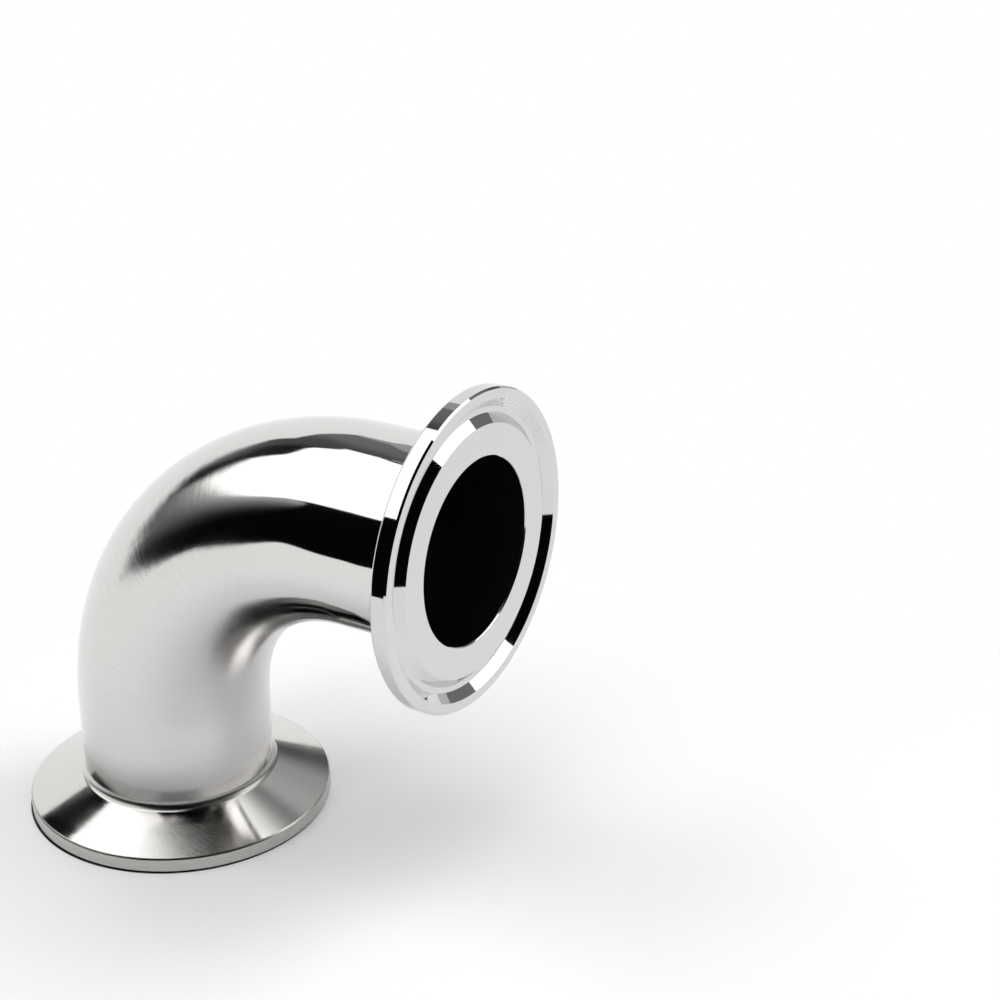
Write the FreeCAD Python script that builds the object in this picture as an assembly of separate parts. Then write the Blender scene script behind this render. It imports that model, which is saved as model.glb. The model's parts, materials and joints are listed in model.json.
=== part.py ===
import FreeCAD, Part
import math
import os

# Ninety degree elbow with a clamp ferrule at each end.
# A thin tube is bent through a quarter turn, and a turned ferrule is welded to each end of it.
# The welds are ground flush, so tube and ferrules meet edge to edge with no bead.
# The origin is the centre of the lower sealing face. The lower leg rises along +Z, the upper leg runs along +X.

# Tube, in millimetres
tube_diameter = 31.8
tube_wall = 1.2
bend_radius = 41.0
bend_angle = 90.0

# Ferrule, from its sealing face to its weld
ferrule_length = 19.0
flange_diameter = 50.5
rim_thickness = 2.6
rim_chamfer = 0.3
edge_break = 0.2
cone_angle = 22.0
neck_fillet = 1.5

# Seal groove in the sealing face, with sloping walls and a flat floor
groove_diameter = 43.2
groove_mouth_width = 3.7
groove_floor_width = 0.9
groove_depth = 1.2

# Sizes and places that follow from the ones above
tube_radius = tube_diameter / 2
bore_radius = tube_radius - tube_wall
flange_radius = flange_diameter / 2
groove_radius = groove_diameter / 2
lower_weld = FreeCAD.Vector(0, 0, ferrule_length)
bend_centre = FreeCAD.Vector(bend_radius, 0, ferrule_length)


def section_point(radius, height):
    """Give a point of the ferrule's half section, by its radius and its height above the sealing face."""
    return FreeCAD.Vector(radius, 0, height)


def cone_height(radius):
    """Give the height of the flange's sloping back at a radius."""
    return rim_thickness + (flange_radius - radius) * math.tan(math.radians(cone_angle))


def neck_arc():
    """Give the start, middle and end of the concave fillet from the sloping back up to the neck."""
    slope = math.radians(cone_angle)
    centre_radius = tube_radius + neck_fillet
    centre_height = cone_height(centre_radius) + neck_fillet / math.cos(slope)
    full_turn = math.pi / 2 - slope
    points = []
    for turn in (full_turn, full_turn / 2, 0.0):
        radius = centre_radius - neck_fillet * math.cos(turn)
        height = centre_height - neck_fillet * math.sin(turn)
        points.append(section_point(radius, height))
    return points


def make_ferrule():
    """Turn one ferrule about Z, with its sealing face at height 0 and its weld end above."""
    arc_start, arc_middle, arc_end = neck_arc()
    half_mouth = groove_mouth_width / 2
    half_floor = groove_floor_width / 2
    break_radius = flange_radius - edge_break
    corners = [
        arc_end,
        section_point(tube_radius, ferrule_length),
        section_point(bore_radius, ferrule_length),
        section_point(bore_radius, edge_break),
        section_point(bore_radius + edge_break, 0),
        section_point(groove_radius - half_mouth, 0),
        section_point(groove_radius - half_floor, groove_depth),
        section_point(groove_radius + half_floor, groove_depth),
        section_point(groove_radius + half_mouth, 0),
        section_point(flange_radius - rim_chamfer, 0),
        section_point(flange_radius, rim_chamfer),
        section_point(flange_radius, rim_thickness - edge_break),
        section_point(break_radius, cone_height(break_radius)),
        arc_start,
    ]
    edges = [Part.makeLine(start, end) for start, end in zip(corners, corners[1:])]
    edges.append(Part.Arc(arc_start, arc_middle, arc_end).toShape())
    section = Part.Face(Part.Wire(edges))
    return section.revolve(FreeCAD.Vector(0, 0, 0), FreeCAD.Vector(0, 0, 1), 360)


def bent_rod(radius):
    """Sweep a disc round the bend, from the lower weld to the upper one."""
    outline = Part.makeCircle(radius, lower_weld, FreeCAD.Vector(0, 0, 1))
    disc = Part.Face(Part.Wire([outline]))
    return disc.revolve(bend_centre, FreeCAD.Vector(0, 1, 0), bend_angle)


def make_bend():
    """Make the bent tube, open at both ends."""
    return bent_rod(tube_radius).cut(bent_rod(bore_radius))


def move_to_outlet(ferrule):
    """Turn a ferrule end for end on the lower weld, then swing it round the bend to the upper weld."""
    outlet = ferrule.copy()
    outlet.rotate(lower_weld, FreeCAD.Vector(1, 0, 0), 180)
    outlet.rotate(bend_centre, FreeCAD.Vector(0, 1, 0), bend_angle)
    return outlet


os.makedirs("parts", exist_ok=True)
base_ferrule = make_ferrule()
nodes = {
    "elbow_bend": make_bend(),
    "base_ferrule": base_ferrule,
    "outlet_ferrule": move_to_outlet(base_ferrule),
}
for name, shape in nodes.items():
    shape.exportStep("parts/" + name + ".step")
    print(name, "volume", round(shape.Volume, 1), "mm3, valid", shape.isValid())
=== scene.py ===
import bpy
import json
import math
from mathutils import Matrix, Vector


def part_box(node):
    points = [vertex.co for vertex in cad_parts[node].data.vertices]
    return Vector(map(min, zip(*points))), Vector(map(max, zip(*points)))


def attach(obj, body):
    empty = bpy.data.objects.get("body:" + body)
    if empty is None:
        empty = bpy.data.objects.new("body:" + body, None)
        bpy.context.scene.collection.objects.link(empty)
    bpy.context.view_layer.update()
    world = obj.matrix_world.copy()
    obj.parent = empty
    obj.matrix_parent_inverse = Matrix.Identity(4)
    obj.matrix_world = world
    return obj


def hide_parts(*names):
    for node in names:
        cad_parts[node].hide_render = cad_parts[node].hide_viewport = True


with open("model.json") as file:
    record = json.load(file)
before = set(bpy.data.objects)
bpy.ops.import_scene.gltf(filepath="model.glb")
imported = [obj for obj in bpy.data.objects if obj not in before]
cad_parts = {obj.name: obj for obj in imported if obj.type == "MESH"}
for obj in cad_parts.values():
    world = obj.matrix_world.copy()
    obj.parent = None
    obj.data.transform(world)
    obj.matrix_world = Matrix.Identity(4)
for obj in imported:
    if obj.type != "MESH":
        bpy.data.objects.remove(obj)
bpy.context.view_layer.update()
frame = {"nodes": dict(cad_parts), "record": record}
mounts = {mount["name"]: mount for mount in frame["record"]["mounts"]}
print("frame loaded with", ", ".join(sorted(frame["nodes"])))

mm = 0.001
fullTurn = 2 * math.pi

# sizes that the frame gives
boreRadius = mounts["base_bore"]["dims"]["r_mm"] * mm
flangeRadius = mounts["base_rim"]["dims"]["r_mm"] * mm
ferruleLength = mounts["base_bore"]["dims"]["length_mm"] * mm
reach = mounts["outlet_bore"]["pos_m"][0]  # from each sealing face to the axis of the other leg
tubeRadius = -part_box("elbow_bend")[0].y
bendRadius = reach - ferruleLength
bendLength = bendRadius * math.pi / 2
pathLength = 2 * ferruleLength + bendLength
front = Vector((0, -1, 0))


def pathStation(station):
    # centre of the bore, direction to the outside of the bend, and heading, at a length along its centre line
    if station < ferruleLength:
        return Vector((0, 0, station)), Vector((-1, 0, 0)), Vector((0, 0, 1))
    if station > ferruleLength + bendLength:
        return Vector((reach - pathLength + station, 0, reach)), Vector((0, 0, 1)), Vector((1, 0, 0))
    turn = (station - ferruleLength) / bendRadius
    centre = Vector((bendRadius * (1 - math.cos(turn)), 0, ferruleLength + bendRadius * math.sin(turn)))
    outside = Vector((-math.cos(turn), 0, math.sin(turn)))
    heading = Vector((math.sin(turn), 0, math.cos(turn)))
    return centre, outside, heading


# The wall of a bent tube is never quite round: slow swells and flats that bend its reflections.
# Each swell: height, place along the centre line, its length, angle from the outside of the bend, its width
tubeSwells = [
    {"height": 0.07 * mm, "station": 78.7 * mm, "length": 4 * mm, "angle": 74.5, "width": 6},
    {"height": -0.05 * mm, "station": 68.6 * mm, "length": 5 * mm, "angle": 75.5, "width": 6},
]


def swellAt(station, angle):
    height = 0
    for swell in tubeSwells:
        off = (math.degrees(angle) - swell["angle"] + 180) % 360 - 180
        along = (station - swell["station"]) / swell["length"]
        around = off / swell["width"]
        height += swell["height"] * math.exp(-along * along - around * around)
    return height


def skinPoint(radius, station, radialShare, alongShare, angle, swells):
    # place and normal of one point of a turned or bent skin
    # the shares are the radial and the forward part of its normal
    centre, outside, heading = pathStation(station)
    radial = outside * math.cos(angle) + front * math.sin(angle)
    tangent = front * math.cos(angle) - outside * math.sin(angle)
    normal = radial * radialShare + heading * alongShare
    if swells:
        step = 0.05 * mm
        height = swellAt(station, angle)
        onBend = ferruleLength < station < ferruleLength + bendLength
        stretch = 1 + radius * math.cos(angle) / bendRadius if onBend else 1
        alongSlope = (swellAt(station + step, angle) - height) / step / stretch
        aroundSlope = (swellAt(station, angle + step / radius) - height) / step
        normal -= heading * alongSlope + tangent * aroundSlope
        radius += height
    return centre + radial * radius, normal.normalized()


def makeSkin(name, strips, finishes, around):
    # strips go round the piece's half section
    # each has its points (radius, station), their normals and lengths, and a finish
    vertices, faces, slots, normals, places = [], [], [], [], []
    slotNames = list(finishes)
    rings = []
    for strip in strips:
        ends = []
        for (radius, station), (radialShare, alongShare) in zip(strip["points"], strip["normals"]):
            ring = []
            for k in range(around):
                angle = fullTurn * k / around
                ring.append(skinPoint(radius, station, radialShare, alongShare, angle, strip["swells"]))
            ends.append(ring)
        rings.append(ends)
    # neighbouring strips share the ring where they meet
    ringIndex = {}
    for s, strip in enumerate(strips):
        for p in range(len(strip["points"])):
            last = p == len(strip["points"]) - 1
            home = ((s + 1) % len(strips), 0) if last else (s, p)
            if home not in ringIndex:
                ringIndex[home] = len(vertices)
                vertices.extend(place for place, normal in rings[home[0]][home[1]])
            ringIndex[(s, p)] = ringIndex[home]
    for s, strip in enumerate(strips):
        for p in range(len(strip["points"]) - 1):
            for k in range(around):
                after = (k + 1) % around
                corners = [(p, k, k), (p, after, k + 1), (p + 1, after, k + 1), (p + 1, k, k)]
                if strip["flip"]:
                    corners.reverse()
                faces.append([ringIndex[(s, row)] + column for row, column, turn in corners])
                slots.append(slotNames.index(strip["finish"]))
                for row, column, turn in corners:
                    normals.append(rings[s][row][column][1])
                    places.append((turn / around, strip["lengths"][row]))
    mesh = bpy.data.meshes.new(name)
    mesh.from_pydata(vertices, [], faces)
    layer = mesh.uv_layers.new(name="lay")
    layer.data.foreach_set("uv", [value for place in places for value in place])
    mesh.polygons.foreach_set("material_index", slots)
    mesh.shade_smooth()
    mesh.normals_split_custom_set(normals)
    for slotName in slotNames:
        mesh.materials.append(finishes[slotName])
    piece = bpy.data.objects.new(name, mesh)
    bpy.context.scene.collection.objects.link(piece)
    return piece


class Wire:
    # a shader socket that adds its own Math nodes
    def __init__(self, finish, socket):
        self.finish = finish
        self.socket = socket

    def maths(self, operation, first, second):
        return self.finish.add("Math", {"operation": operation}, {0: first, 1: second})

    def __add__(self, other):
        return self.maths("ADD", self, other)

    def __radd__(self, other):
        return self.maths("ADD", other, self)

    def __sub__(self, other):
        return self.maths("SUBTRACT", self, other)

    def __rsub__(self, other):
        return self.maths("SUBTRACT", other, self)

    def __mul__(self, other):
        return self.maths("MULTIPLY", self, other)

    def __rmul__(self, other):
        return self.maths("MULTIPLY", other, self)

    def cosine(self):
        return self.maths("COSINE", self, 0.0)

    def sine(self):
        return self.maths("SINE", self, 0.0)


class Finish:
    # a material or world that is built node by node
    def __init__(self, owner):
        owner.use_nodes = True
        self.owner = owner
        self.tree = owner.node_tree
        self.tree.nodes.clear()

    def add(self, kind, settings=None, inputs=None, output=0):
        node = self.tree.nodes.new("ShaderNode" + kind)
        for key, value in (settings or {}).items():
            if key == "stops":
                stops = node.color_ramp.elements
                for element, (position, level) in ((stops[0], value[0]), (stops[1], value[-1])):
                    element.position = position
                    element.color = (level, level, level, 1)
                for position, level in value[1:-1]:
                    stops.new(position).color = (level, level, level, 1)
            else:
                setattr(node, key, value)
        for key, value in (inputs or {}).items():
            if isinstance(value, Wire):
                self.tree.links.new(value.socket, node.inputs[key])
            else:
                node.inputs[key].default_value = value
        return Wire(self, node.outputs[output]) if len(node.outputs) else None

    def surface(self, shader):
        inWorld = isinstance(self.owner, bpy.types.World)
        self.add("OutputWorld" if inWorld else "OutputMaterial", None, {"Surface": shader})
        return self.owner


# near black, mixed in for painted shade and for the brush strokes' tone
soot = (0.02, 0.02, 0.02, 1)
white = (1, 1, 1, 1)
noiseMiddle, noiseSpread = 0.5, 0.12  # a noise value's middle, and how far it usually strays from it
noiseRoughness = 0.6


def layPlaces(finish):
    # cosine and sine of the angle round the part, which have no seam, and the length along it, in metres
    split = finish.add("SeparateXYZ", None, {0: finish.add("UVMap", {"uv_map": "lay"})})
    angle = split * fullTurn
    length = Wire(finish, split.socket.node.outputs[1])
    return angle.cosine(), angle.sine(), length


def lineNoise(finish, across, alongRun, aroundRun, detail):
    # lines that run round the part: fine along its length, long round it
    cosine, sine, length = across
    grain = finish.add("CombineXYZ", None, {
        0: cosine * (tubeRadius / aroundRun), 1: sine * (tubeRadius / aroundRun),
        2: length * (1 / alongRun)})
    return finish.add("TexNoise", {"noise_dimensions": "3D"}, {
        "Vector": grain, "Scale": 1.0, "Detail": detail, "Roughness": noiseRoughness})


def ramp(finish, value, start, full):
    # runs smoothly from 0 to 1 while the value goes from start to full
    return finish.add("MapRange", {"interpolation_type": "SMOOTHSTEP"}, {
        "Value": value, "From Min": start, "From Max": full})


def facing(across, angle):
    # 1 on the side that looks to this angle, -1 on the far side
    cosine, sine, length = across
    turn = math.radians(angle)
    return cosine * math.cos(turn) + sine * math.sin(turn)


# mixes a colour toward near black by the share given: painted shade at the tube's foot, under the bend, on
# one side of the neck fillet and in the floor's contact line, and the strokes' own tone
def dulled(finish, colour, share):
    return finish.add("Mix", {"data_type": "RGBA"}, {0: share, 6: colour, 7: soot}, 2)


def noiseSlope(noise, slope):
    # turns a noise value into a slope whose usual size is the one given
    return (noise - noiseMiddle) * (slope / noiseSpread)


def drift(noise, middle, gain):
    # a value that drifts with the noise to both sides of a middle
    return noise * gain + (middle - gain * noiseMiddle)


def tiltedNormal(finish, alongSlope, aroundSlope=None):
    # the surface's normal, tilted along the part's length and round it by the slopes given
    normal = finish.add("NewGeometry", None, None, "Normal")
    around = finish.add("Tangent", {"direction_type": "UV_MAP", "uv_map": "lay"})
    along = finish.add("VectorMath", {"operation": "CROSS_PRODUCT"}, {0: normal, 1: around})
    lean = finish.add("VectorMath", {"operation": "SCALE"}, {0: along, "Scale": alongSlope})
    tilted = finish.add("VectorMath", {"operation": "ADD"}, {0: normal, 1: lean})
    if aroundSlope is not None:
        lean = finish.add("VectorMath", {"operation": "SCALE"}, {0: around, "Scale": aroundSlope})
        tilted = finish.add("VectorMath", {"operation": "ADD"}, {0: tilted, 1: lean})
    return finish.add("VectorMath", {"operation": "NORMALIZE"}, {0: tilted})


def metal(finish, colour, roughness, normal=None):
    sockets = {"Base Color": colour, "Metallic": 1.0, "Roughness": roughness}
    if normal:
        sockets["Normal"] = normal
    return finish.surface(finish.add("BsdfPrincipled", None, sockets))


brushedSteel = {
    "colour": (0.70, 0.69, 0.675, 1), "smooth": 0.04, "rough": 0.11, "roughSpread": 0.03,
    "hairWidth": 0.006 * mm, "hairRun": 5 * mm, "hairSlope": 0.02,
    "strokeWidth": 0.12 * mm, "strokeRun": 3 * mm, "strokeSlope": 0.007,
    "strokeDull": 0.2, "strokePlain": 0.4,  # strokes fainter than plain leave the colour as it is
    "cloudWidth": 6 * mm, "cloudRun": 14 * mm,
    # how much each part of the centre line is brushed
    "brushed": [(0.0, 0.3), (0.17, 0.4), (0.24, 1.0), (0.66, 1.0), (0.75, 0.2), (1.0, 0.15)],
    # painted shade in the colour: at the foot of the lower leg, standing in for the darker reflection near
    # the flange, and on the underside of the upper one, in the crook of the bend
    "foot": (16 * mm, 7.5 * mm), "footAngle": 85, "footPaintedShade": 0.6, "footEven": 0.4,
    "under": (56 * mm, 66 * mm), "underPaintedShade": 0.8,
    # the inside of the bend, by the cosine of the angle from its outside
    "inside": (-0.4, -0.66), "insideRough": 0.12,
}


def makeBrushedSteel():
    finish = Finish(bpy.data.materials.new("brushed_tube"))
    across = layPlaces(finish)
    cosine, sine, length = across
    share = finish.add("ValToRGB", {"stops": brushedSteel["brushed"]}, {0: length * (1 / pathLength)})
    hair = lineNoise(finish, across, brushedSteel["hairWidth"], brushedSteel["hairRun"], 0.0)
    stroke = lineNoise(finish, across, brushedSteel["strokeWidth"], brushedSteel["strokeRun"], 2.0)
    cloud = lineNoise(finish, across, brushedSteel["cloudWidth"], brushedSteel["cloudRun"], 3.0)
    slope = noiseSlope(hair, brushedSteel["hairSlope"]) + noiseSlope(stroke, brushedSteel["strokeSlope"])
    inside = ramp(finish, cosine, *brushedSteel["inside"])
    gain = brushedSteel["rough"] - brushedSteel["smooth"]
    rough = share * gain + (cloud - noiseMiddle) * brushedSteel["roughSpread"] + brushedSteel["smooth"]
    rough = rough + inside * share * brushedSteel["insideRough"]
    # painted shade at the foot of the lower leg, on the side facing footAngle, patchy with the cloud noise
    foot = ramp(finish, length, *brushedSteel["foot"])
    foot = foot * ramp(finish, facing(across, brushedSteel["footAngle"]), 0.0, 1.0)
    # painted shade on the inside of the bend, from the middle of the bend onward
    under = ramp(finish, length, *brushedSteel["under"]) * inside
    # painted shade at the foot and under the bend, plus the brush strokes' own tone
    dull = foot * (cloud + brushedSteel["footEven"]) * brushedSteel["footPaintedShade"]
    dull = dull + under * brushedSteel["underPaintedShade"]
    dull = dull + share * (stroke - brushedSteel["strokePlain"]) * brushedSteel["strokeDull"]
    colour = dulled(finish, brushedSteel["colour"], dull)
    return metal(finish, colour, rough, tiltedNormal(finish, slope * share))


turnedSteel = {
    "colour": (0.69, 0.68, 0.66, 1), "roughness": 0.09,
    "cloudWidth": 2 * mm, "cloudRun": 9 * mm, "cloudGain": 0.1,
    "lineWidth": 0.04 * mm, "lineRun": 10 * mm, "lineSlope": 0.005,
    # a patch of scratches that cross the turning lines; lengths run along the section from the weld
    "scratchWidth": 0.06 * mm, "scratchRun": 3 * mm, "scratchLean": -40,
    "scratchSlope": 0.012, "scratchRough": 0.5,
    "scratchAngle": 126, "scratchReach": (0.92, 1.0), "scratchStart": (13.6 * mm, 17 * mm),
    # the fillet at the neck's foot is left rougher, and its colour carries painted shade on one side
    "filletEnd": (13.4 * mm, 12.8 * mm), "filletRough": 0.2,
    "filletAngle": 150, "filletReach": (0.0, 0.5), "filletPaintedShade": 0.45,
}


def makeTurnedSteel():
    finish = Finish(bpy.data.materials.new("turned_cone"))
    across = layPlaces(finish)
    cosine, sine, length = across
    lines = lineNoise(finish, across, turnedSteel["lineWidth"], turnedSteel["lineRun"], 2.0)
    cloud = lineNoise(finish, across, turnedSteel["cloudWidth"], turnedSteel["cloudRun"], 3.0)
    aside = facing(across, turnedSteel["scratchAngle"] + 90) * flangeRadius
    lean = math.radians(turnedSteel["scratchLean"])
    grain = finish.add("CombineXYZ", None, {
        0: (length * math.cos(lean) + aside * math.sin(lean)) * (1 / turnedSteel["scratchWidth"]),
        1: (aside * math.cos(lean) - length * math.sin(lean)) * (1 / turnedSteel["scratchRun"])})
    scratch = finish.add("TexNoise", {"noise_dimensions": "2D"}, {
        "Vector": grain, "Scale": 1.0, "Detail": 2.0, "Roughness": noiseRoughness})
    patch = ramp(finish, facing(across, turnedSteel["scratchAngle"]), *turnedSteel["scratchReach"])
    patch = patch * ramp(finish, length, *turnedSteel["scratchStart"])
    scratched = noiseSlope(scratch, turnedSteel["scratchSlope"]) * patch
    fillet = ramp(finish, length, *turnedSteel["filletEnd"])
    rough = drift(cloud, turnedSteel["roughness"], turnedSteel["cloudGain"])
    rough = rough + fillet * turnedSteel["filletRough"] + patch * scratch * turnedSteel["scratchRough"]
    # painted shade in the fillet's crease, on the side facing filletAngle
    side = ramp(finish, facing(across, turnedSteel["filletAngle"]), *turnedSteel["filletReach"])
    colour = dulled(finish, turnedSteel["colour"], side * fillet * turnedSteel["filletPaintedShade"])
    slope = noiseSlope(lines, turnedSteel["lineSlope"])
    normal = tiltedNormal(finish, slope + scratched * math.cos(lean), scratched * math.sin(lean))
    return metal(finish, colour, rough, normal)


def hazySteel(name, steel):
    # plain metal whose roughness drifts in bands round the part
    finish = Finish(bpy.data.materials.new(name))
    haze = lineNoise(finish, layPlaces(finish), steel["hazeWidth"], steel["hazeRun"], 3.0)
    return metal(finish, steel["colour"], drift(haze, steel["roughness"], steel["hazeGain"]))


polishedSteel = {
    "colour": (0.66, 0.65, 0.645, 1), "roughness": 0.04,
    "hazeWidth": 0.8 * mm, "hazeRun": 6 * mm, "hazeGain": 0.03,
}
# the foot's rim: its roughness and haze are the satin finish; its colour, darker than the face's, is painted
# shade from the floor's contact shadow that it mirrors
satinSteel = {
    "colour": (0.53, 0.525, 0.495, 1), "roughness": 0.28,
    "hazeWidth": 0.3 * mm, "hazeRun": 5 * mm, "hazeGain": 0.12,
}
boreSteel = {
    "colour": (0.55, 0.55, 0.56, 1), "roughness": 0.16,
    "hazeWidth": 3 * mm, "hazeRun": 5 * mm, "hazeGain": 0.1,
}

finishes = {
    "tube": makeBrushedSteel(),
    "cone": makeTurnedSteel(),
    "face": hazySteel("polished_face", polishedSteel),
    "rim": hazySteel("satin_rim_painted_shade", satinSteel),
    "bore": hazySteel("pickled_bore", boreSteel),
}
print("finishes ready")

ferrule = {
    "rimThickness": 2.6 * mm, "rimChamfer": 0.3 * mm, "footChamfer": 0.35 * mm,
    "edgeBreak": 0.2 * mm, "breakRounding": 0.25 * mm,
    "coneAngle": 22, "neckFillet": 1.5 * mm,
    # the neck narrows a little to its foot
    "neckDraw": 0.22 * mm, "neckDrawLength": 4 * mm, "neckBend": 60 * mm,
    "grooveRadius": 21.6 * mm, "grooveMouth": 3.7 * mm, "grooveFloor": 0.9 * mm, "grooveDepth": 1.2 * mm,
    "softEdge": 0.05 * mm, "grooveEdge": 0.06 * mm, "mouthEdge": 0.2 * mm,
    "around": 288, "arcStep": math.radians(12),
    "neckStretches": 2, "neckStrips": 3, "neckRows": 8,  # the neck's part of the section, which swells
}


def coneHeight(radius):
    return ferrule["rimThickness"] + (flangeRadius - radius) * math.tan(math.radians(ferrule["coneAngle"]))


def ferruleCorners(atOutlet):
    # the half section, from the weld down the neck, round the flange and back up the bore:
    # radius, height above the sealing face, rounding, and the finish of the stretch that follows
    edge = ferrule["softEdge"]
    chamfer = ferrule["rimChamfer"] if atOutlet else ferrule["footChamfer"]
    mouth = ferrule["grooveMouth"] / 2
    floor = ferrule["grooveFloor"] / 2
    middle = ferrule["grooveRadius"]
    backEdge = flangeRadius - ferrule["edgeBreak"]
    neckRadius = tubeRadius - ferrule["neckDraw"]
    neckFoot = coneHeight(neckRadius)
    neckStart = neckFoot + ferrule["neckFillet"] + ferrule["neckDrawLength"]
    return [
        (tubeRadius, ferruleLength, 0, "tube"),
        (tubeRadius, neckStart, ferrule["neckBend"], "tube"),
        (neckRadius, neckFoot, ferrule["neckFillet"], "cone"),
        (backEdge, coneHeight(backEdge), ferrule["breakRounding"], "rim"),
        (flangeRadius, ferrule["rimThickness"] - ferrule["edgeBreak"], ferrule["breakRounding"], "rim"),
        (flangeRadius, chamfer, edge, "face"),
        (flangeRadius - chamfer, 0, edge, "face"),
        (middle + mouth, 0, ferrule["grooveEdge"], "face"),
        (middle + floor, ferrule["grooveDepth"], ferrule["grooveEdge"], "face"),
        (middle - floor, ferrule["grooveDepth"], ferrule["grooveEdge"], "face"),
        (middle - mouth, 0, ferrule["grooveEdge"], "face"),
        (boreRadius + ferrule["edgeBreak"], 0, ferrule["mouthEdge"], "face"),
        (boreRadius, ferrule["edgeBreak"], ferrule["mouthEdge"], "bore"),
        (boreRadius, ferruleLength, 0, "tube"),
    ]


def roundedStrips(corners):
    # straight stretches and the small arcs between them, each with its own points and normals
    count = len(corners)
    spots = [Vector(corner[:2]) for corner in corners]
    strips = []
    leave = []
    for k in range(count):
        before = (spots[k] - spots[k - 1]).normalized()
        after = (spots[(k + 1) % count] - spots[k]).normalized()
        turn = math.atan2(before.x * after.y - before.y * after.x, before.dot(after))
        cut = corners[k][2] * math.tan(abs(turn) / 2)
        leave.append((before, after, turn, cut))
    for k in range(count):
        before, after, turn, cut = leave[k]
        finish = corners[k][3]
        if corners[k][2]:
            side = math.copysign(1, turn)
            start = spots[k] - before * cut
            centre = start + Vector((-before.y, before.x)) * corners[k][2] * side
            steps = max(2, math.ceil(abs(turn) / ferrule["arcStep"]))
            points, normals = [], []
            for step in range(steps + 1):
                swing = Matrix.Rotation(turn * step / steps, 2)
                points.append(centre + swing @ (start - centre))
                heading = swing @ before
                normals.append((-heading.y, heading.x))
            strips.append({"points": points, "normals": normals, "finish": finish})
        start = spots[k] + after * cut
        end = spots[(k + 1) % count] - after * leave[(k + 1) % count][3]
        rows = ferrule["neckRows"] if k < ferrule["neckStretches"] else 1
        points = [start.lerp(end, row / rows) for row in range(rows + 1)]
        strips.append({"points": points, "normals": [(-after.y, after.x)] * (rows + 1), "finish": finish})
    return strips


def makeFerrule(name, atOutlet):
    strips = roundedStrips(ferruleCorners(atOutlet))
    length = 0
    for number, strip in enumerate(strips):
        # the outlet's rim keeps the polished face finish; only the foot's rim gets the darker colour with
        # painted shade
        if atOutlet and strip["finish"] == "rim":
            strip["finish"] = "face"
        strip["lengths"] = [length]
        for first, second in zip(strip["points"], strip["points"][1:]):
            length += (second - first).length
            strip["lengths"].append(length)
        if atOutlet:
            strip["points"] = [(point.x, pathLength - point.y) for point in strip["points"]]
            strip["normals"] = [(normal[0], -normal[1]) for normal in strip["normals"]]
        else:
            strip["points"] = [(point.x, point.y) for point in strip["points"]]
        if strip["finish"] == "tube":
            strip["lengths"] = [station for radius, station in strip["points"]]
        strip["swells"] = number < ferrule["neckStrips"]
        strip["flip"] = not atOutlet
    return makeSkin(name, strips, finishes, ferrule["around"])


bentTube = {"outerRows": 180, "innerRows": 60, "around": 288}


def makeBend():
    start, end = ferruleLength, ferruleLength + bendLength
    outer = [start + (end - start) * row / bentTube["outerRows"] for row in range(bentTube["outerRows"] + 1)]
    inner = [end + (start - end) * row / bentTube["innerRows"] for row in range(bentTube["innerRows"] + 1)]
    strips = [
        {"points": [(tubeRadius, station) for station in outer], "normals": [(1, 0)] * len(outer),
         "finish": "tube", "swells": True, "lengths": outer},
        {"points": [(tubeRadius, end), (boreRadius, end)], "normals": [(0, 1)] * 2,
         "finish": "bore", "swells": False, "lengths": [end, end]},
        {"points": [(boreRadius, station) for station in inner], "normals": [(-1, 0)] * len(inner),
         "finish": "bore", "swells": False, "lengths": inner},
        {"points": [(boreRadius, start), (tubeRadius, start)], "normals": [(0, -1)] * 2,
         "finish": "bore", "swells": False, "lengths": [start, start]},
    ]
    for strip in strips:
        strip["flip"] = False
    return makeSkin("bent_tube", strips, finishes, bentTube["around"])


pieces = {
    "elbow_bend": (makeBend(), "bent_tube"),
    "base_ferrule": (makeFerrule("lower_ferrule", False), "turned_ferrule"),
    "outlet_ferrule": (makeFerrule("upper_ferrule", True), "turned_ferrule"),
}
for node, (piece, slotName) in pieces.items():
    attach(piece, "root")
    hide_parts(node)
    print(piece.name, "has", len(piece.data.polygons), "faces")


studio = {
    "middle": Vector((0.02, 0, 0.05)), "step": 3, "rows": 12,
    "lampDistance": 0.7, "cardDistance": 1.8,
    "floorSize": 8.0, "floorColour": (0.95, 0.945, 0.96, 1),
    # painted contact shadow: a dark line on the floor round the foot, a little wider at the front
    "contact": (25.35 * mm, 25.1 * mm), "paintedShadowMiddle": (-0.15 * mm, -0.25 * mm, 0),
    "shadeMiddle": (0.035, 0.01, 0), "openFloor": (0.06, 0.14),  # where the floor turns to full white
    "edgeHeight": 0.068,
}

# What lights the elbow and the floor. Directions are seen from the elbow, in degrees: azimuth 0 is the side
# of -Y and 90 that of +X. Each point of an outline has its azimuth and the elevations of its two edges.
lamps = [
    {"name": "key_left", "level": 4.15, "outline": [(-90, 48, 72), (-60, 48, 72)]},
    {"name": "key_right", "level": 3.0, "outline": [(-60, 48, 72), (-30, 48, 72)]},
    {"name": "key_low", "level": 3.0, "outline": [(-30, 18, 48), (-15, 18, 48)]},
    {"name": "front_fill", "level": 3.5, "outline": [(-15, 48, 72), (45, 48, 72)]},
    {"name": "right_fill", "level": 1.45, "outline": [(45, 48, 72), (105, 48, 72)]},
    {"name": "back_lamp", "level": 4.5, "outline": [(105, 33, 72), (150, 33, 72)]},
    {"name": "left_wall", "level": 1.25, "outline": [(-150, 18, 48), (-120, 18, 48)]},
    {"name": "left_wall_back", "level": 0.6, "outline": [(-180, 18, 48), (-150, 18, 48)]},
    {"name": "overhead", "level": 2.1, "outline": [(-180, 72, 89.5), (180, 72, 89.5)]},
]

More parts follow.
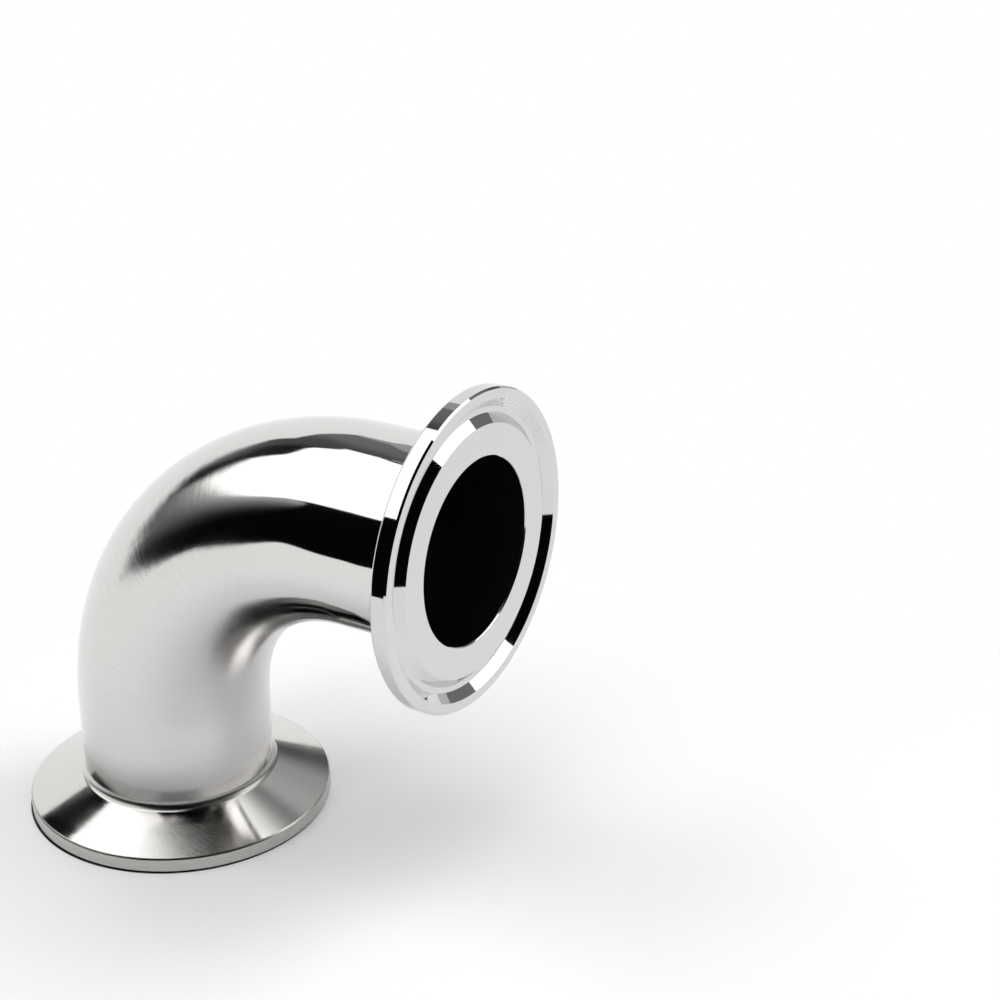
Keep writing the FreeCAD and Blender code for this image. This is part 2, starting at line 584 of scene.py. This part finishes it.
# What the metal mirrors. A card's tones run from its lower edge to its upper one, or along its azimuths if it
# turns. Right tones take over between the two azimuths of the blend. Nearer cards hide farther ones.
cards = [
    {"name": "front_softbox", "tones": [(0, 1.6)],
     "outline": [(-126, 60, 76), (-121, 52, 76), (-118, 50, 76), (-112, 44, 76), (-103, 42, 76),
                 (-99, 41, 78), (-97.6, 41, 78), (-97, 36, 78), (-96.3, 32.9, 78), (-94, 30.5, 78),
                 (-92.2, 27.9, 78), (-88.8, 25.2, 78), (-86, 21, 78), (-75, 21, 78), (-64, 21.5, 78),
                 (-58, 23, 78), (-52, 26, 78), (-47, 29.2, 78), (-44, 30.2, 78), (-37, 33, 78),
                 (-22, 36, 76)]},
    {"name": "under_softbox", "nearer": 0.1,
     "tones": [(0, 0.12), (0.35, 0.15), (0.6, 0.25), (0.8, 0.4), (1, 0.7)],
     "rightTones": [(0, 0.002), (0.3, 0.01), (0.5, 0.05), (0.75, 0.2), (1, 0.5)], "blend": (-80, -52),
     "outline": [(-104, 16, 17), (-98.8, 12.5, 22), (-95.8, 11.6, 25), (-92.3, 8.4, 27),
                 (-89.7, 5.1, 25), (-87, 2.1, 22), (-84.8, 0.8, 21.5), (-80, -1.5, 21.5),
                 (-64, -1.5, 22), (-56, 1, 24), (-50, 5, 27.5), (-44, 12, 30), (-40, 20, 30)]},
    {"name": "back_softbox", "tones": [(0, 2.2)], "outline": [(108.5, 19.5, 84), (149.5, 19.5, 84)]},
    {"name": "low_back", "tones": [(0, 0.3), (1, 0.2)],
     "outline": [(108.5, -3, 19.5), (149.5, -3, 19.5)]},
    {"name": "left_paper", "nearer": 1.6, "tones": [(0, 1.0)],
     "outline": [(-124, -2, 35), (-116, -2, 34), (-112, -2, 29.4), (-110.5, -2, 28.6), (-109, -2, 26.8),
                 (-107.5, -2, 25.2), (-106, -2, 23.8), (-104.5, -2, 22.5), (-103, -2, 20.6),
                 (-101.5, -2, 19.2), (-100, -2, 18.5), (-98.5, -2, 17.8), (-97, -2, 15.9)]},
    {"name": "near_gap", "nearer": 1.6,
     "tones": [(0, 0.13), (0.25, 0.11), (0.42, 0.05), (0.55, 0.02), (1, 0.015)],
     "rightTones": [(0, 0.002), (1, 0.002)], "blend": (-101, -97),
     "outline": [(-104, 24.2, 52.2), (-101.5, 21, 51.8), (-98.5, 19.6, 50.5), (-97, 17.9, 50.2),
                 (-95.3, 16.3, 49.2), (-94.7, 16, 44), (-94, 15.5, 39.4), (-92.5, 14.3, 36.9),
                 (-91, 13.1, 35.3), (-89.5, 12, 33), (-88, 9.2, 31.5)]},
    {"name": "dim_gap", "nearer": 1.15, "tones": [(0, 0.09), (1, 0.07)],
     "rightTones": [(0, 0.15), (0.25, 0.12), (0.42, 0.05), (0.55, 0.02), (0.8, 0.012), (1, 0.02)],
     "blend": (-117, -109),
     "outline": [(-126, 35.8, 72), (-122.3, 36, 72), (-122, 35.9, 55.5), (-120.6, 31.7, 55.4),
                 (-118.1, 29.1, 55.3), (-117.2, 28.4, 55.2), (-116.1, 27.8, 54.2), (-113.4, 26.9, 51.8),
                 (-111.8, 25.2, 49.3), (-109.5, 23.1, 48), (-108.3, 22, 47.8), (-106.5, 20.2, 47.5),
                 (-103.8, 17.3, 47.1), (-102, 16.6, 47), (-100, 15.8, 46), (-98, 13.7, 45.1),
                 (-97.1, 13.3, 44.5)]},
    {"name": "dark_room", "nearer": -0.1, "tones": [(0, 0.002)],
     "outline": [(-98.8, 12.5, 74), (-95.8, 11.6, 74), (-92.3, 8.4, 74), (-89.7, 5.1, 74),
                 (-87, 2.1, 74), (-84, 0, 74), (-80, -4, 74), (10, -4, 74), (25, -4, 80),
                 (108.5, -4, 80)]},
    {"name": "dim_left", "tones": [(0, 0.19), (1, 0.14)],
     "rightTones": [(0, 0.1), (1, 0.08)], "blend": (-134, -124),
     "outline": [(-141, 35.5, 70), (-130, 34, 70), (-122.9, 34.7, 70)]},
    {"name": "dim_left_back", "tones": [(0, 0.4)], "outline": [(-158, 36, 70), (-141, 35.5, 70)]},
    {"name": "back_wall",
     "tones": [(0.03, 0.2), (0.08, 0.09), (0.15, 0.13), (0.22, 0.28), (0.28, 0.38), (0.36, 0.4),
               (0.43, 0.44), (0.5, 0.47), (0.56, 0.45), (0.61, 0.3), (0.65, 0.25), (0.7, 0.38),
               (0.74, 0.6), (0.79, 0.95), (0.85, 1.3), (0.91, 1.7), (1, 1.7)],
     "outline": [(-197, 11, 71), (-158, 11, 71)]},
    {"name": "back_corner", "tones": [(0, 0.2)], "outline": [(149.5, 0, 47), (163, 0, 47)]},
    {"name": "back_board", "nearer": 0.1, "tones": [(0, 0.62)],
     "outline": [(163, -4, 11), (182, -4, 11)]},
    {"name": "ceiling", "turns": True,
     "tones": [(0, 0.1), (0.4, 0.03), (0.6, 0.05), (0.7, 0.12), (0.85, 0.35), (1, 0.8)],
     "outline": [(-215, 70, 80), (-118, 70, 80)]},
    {"name": "ceiling_light", "tones": [(0, 2.0)], "outline": [(-215, 80, 89.5), (145, 80, 89.5)]},
]


def stageSheet(name, vertices, faces, material, places=None):
    # places give the map, one for each vertex
    mesh = bpy.data.meshes.new(name)
    mesh.from_pydata(vertices, [], faces)
    mesh.materials.append(material)
    sheet = bpy.data.objects.new(name, mesh)
    bpy.context.scene.collection.objects.link(sheet)
    if places:
        layer = mesh.uv_layers.new(name="spread")
        for loop in mesh.loops:
            layer.data[loop.index].uv = places[loop.vertex_index]
    return sheet


def direction(azimuth, elevation):
    turn, rise = math.radians(azimuth), math.radians(elevation)
    return Vector((math.sin(turn) * math.cos(rise), -math.cos(turn) * math.cos(rise), math.sin(rise)))


def outlineAt(outline, azimuth):
    for (left, low, high), (right, nextLow, nextHigh) in zip(outline, outline[1:]):
        if azimuth <= right:
            share = (azimuth - left) / (right - left)
            return low + (nextLow - low) * share, high + (nextHigh - high) * share
    return outline[-1][1:]


def curvedSheet(name, outline, distance, material):
    # a sheet that stands round the elbow
    # its map runs from 0 to 1 along its azimuths, and from its lower edge to its upper one
    azimuths = [outline[0][0]]
    for left, right in zip(outline, outline[1:]):
        count = max(1, math.ceil((right[0] - left[0]) / studio["step"]))
        azimuths.extend(left[0] + (right[0] - left[0]) * k / count for k in range(1, count + 1))
    rows = studio["rows"]
    vertices, places, faces = [], [], []
    for azimuth in azimuths:
        low, high = outlineAt(outline, azimuth)
        for row in range(rows + 1):
            away = direction(azimuth, low + (high - low) * row / rows)
            vertices.append(studio["middle"] + away * distance)
            places.append(((azimuth - azimuths[0]) / (azimuths[-1] - azimuths[0]), row / rows))
    for column in range(len(azimuths) - 1):
        for row in range(rows):
            first = column * (rows + 1) + row
            faces.append((first, first + rows + 1, first + rows + 2, first + 1))
    return stageSheet(name, vertices, faces, material, places)


def makeLamp(lamp):
    # lights the scene, and isn't seen in the metal
    finish = Finish(bpy.data.materials.new(lamp["name"]))
    glow = finish.surface(finish.add("Emission", None, {"Color": white, "Strength": lamp["level"]}))
    sheet = curvedSheet(lamp["name"], lamp["outline"], studio["lampDistance"], glow)
    sheet.visible_camera = False
    sheet.visible_glossy = False


def onlyMirrored(sheet):
    sheet.visible_camera = False
    sheet.visible_diffuse = False
    sheet.visible_shadow = False


def toneRamp(finish, place, tones, brightest):
    stops = [(stop, level / brightest) for stop, level in tones]
    return finish.add("ValToRGB", {"stops": stops}, {0: place}) if len(stops) > 1 else stops[0][1]


def cardGlow(card):
    # light whose strength follows the card's tones; its right end may have tones of its own
    finish = Finish(bpy.data.materials.new(card["name"]))
    brightest = max(level for stop, level in card["tones"])
    split = finish.add("SeparateXYZ", None, {0: finish.add("UVMap", {"uv_map": "spread"})})
    rise = Wire(finish, split.socket.node.outputs[1])
    tone = toneRamp(finish, split if card.get("turns") else rise, card["tones"], brightest)
    if "rightTones" in card:
        left, right = card["outline"][0][0], card["outline"][-1][0]
        start, full = [(azimuth - left) / (right - left) for azimuth in card["blend"]]
        rightTone = toneRamp(finish, rise, card["rightTones"], brightest)
        tone = tone + (rightTone - tone) * ramp(finish, split, start, full)
    elif not isinstance(tone, Wire):
        tone = white
    return finish.surface(finish.add("Emission", None, {"Color": tone, "Strength": brightest}))


def makeCard(card):
    # shows in the metal, and lights nothing else
    distance = studio["cardDistance"] - card.get("nearer", 0)
    onlyMirrored(curvedSheet(card["name"], card["outline"], distance, cardGlow(card)))


# The dark room past the table's edge: each corner's place on the floor, and how bright the room is there
tableEdge = [
    (-1.7, -0.302, 0.2), (-0.9, -0.192, 0.18), (-0.6, -0.148, 0.14), (-0.36, -0.119, 0.09),
    (-0.29, -0.118, 0.06), (-0.262, -0.145, 0.02), (-0.215, -0.157, 0.008), (-0.19, -0.172, 0.004),
    (-0.196, -0.2, 0.002), (-0.208, -0.228, 0.002), (-0.198, -0.241, 0.002), (-0.165, -0.243, 0.002),
    (0.254, -0.24, 0.002), (0.254, 0.08, 0.002),
]


def makeTableEdge():
    last = len(tableEdge) - 1
    vertices = [(x, y, z) for x, y, level in tableEdge for z in (0, studio["edgeHeight"])]
    faces = [(2 * k, 2 * k + 2, 2 * k + 3, 2 * k + 1) for k in range(last)]
    places = [(k / last, rise) for k in range(last + 1) for rise in (0, 1)]
    tones = [(k / last, level) for k, (x, y, level) in enumerate(tableEdge)]
    glow = cardGlow({"name": "table_edge", "turns": True, "tones": tones})
    onlyMirrored(stageSheet("table_edge", vertices, faces, glow, places))


def distanceFrom(finish, place, middle):
    return finish.add("VectorMath", {"operation": "DISTANCE"}, {0: place, 1: middle}, "Value")


def rayIs(finish, kind):
    return finish.add("LightPath", None, None, "Is " + kind + " Ray")


def makeFloor():
    half = studio["floorSize"] / 2
    vertices = [(-half, -half, 0), (half, -half, 0), (half, half, 0), (-half, half, 0)]
    finish = Finish(bpy.data.materials.new("pale_floor"))
    place = finish.add("NewGeometry", None, None, "Position")
    away = distanceFrom(finish, place, studio["paintedShadowMiddle"])
    off = distanceFrom(finish, place, studio["shadeMiddle"])
    openness = ramp(finish, off, *studio["openFloor"])
    # painted contact shadow round the foot, in the floor's colour
    contact = ramp(finish, away, *studio["contact"])
    paper = finish.add("BsdfDiffuse", None, {"Color": dulled(finish, studio["floorColour"], contact)})
    bright = finish.add("Emission", None, {"Color": white, "Strength": 1.0})
    seen, mirrored = rayIs(finish, "Camera"), rayIs(finish, "Glossy")
    mixed = finish.add("MixShader", None, {0: openness * (seen + mirrored), 1: paper, 2: bright})
    stageSheet("floor", vertices, [(0, 1, 2, 3)], finish.surface(mixed))


def makeWorld():
    # white where it is seen or mirrored; all the light comes from the lamps
    sky = Finish(bpy.data.worlds.new("pale_room"))
    level = rayIs(sky, "Camera") + rayIs(sky, "Glossy") + rayIs(sky, "Transmission")
    return sky.surface(sky.add("Background", None, {"Color": white, "Strength": level}))


for lamp in lamps:
    makeLamp(lamp)
for card in cards:
    makeCard(card)
makeTableEdge()
makeFloor()
bpy.context.scene.world = makeWorld()

camera = {
    "target": Vector((58.82, 9.03, 64.54)) * mm, "azimuth": 31.07, "elevation": 25.71, "roll": -1.11,
    "distance": 393.4 * mm, "lens": 93.31, "clipStart": 10 * mm,
}


def makeCamera():
    back = direction(camera["azimuth"], camera["elevation"])
    data = bpy.data.cameras.new("photo_camera")
    data.lens = camera["lens"]
    data.clip_start = camera["clipStart"]
    eye = bpy.data.objects.new("photo_camera", data)
    aim = (-back).to_track_quat("-Z", "Y").to_matrix().to_4x4()
    eye.matrix_world = (Matrix.Translation(camera["target"] + back * camera["distance"]) @ aim
                        @ Matrix.Rotation(math.radians(camera["roll"]), 4, "Z"))
    bpy.context.scene.collection.objects.link(eye)
    return eye


bpy.context.scene.camera = makeCamera()
bpy.context.scene.view_settings.view_transform = "Standard"
print("studio and camera ready")
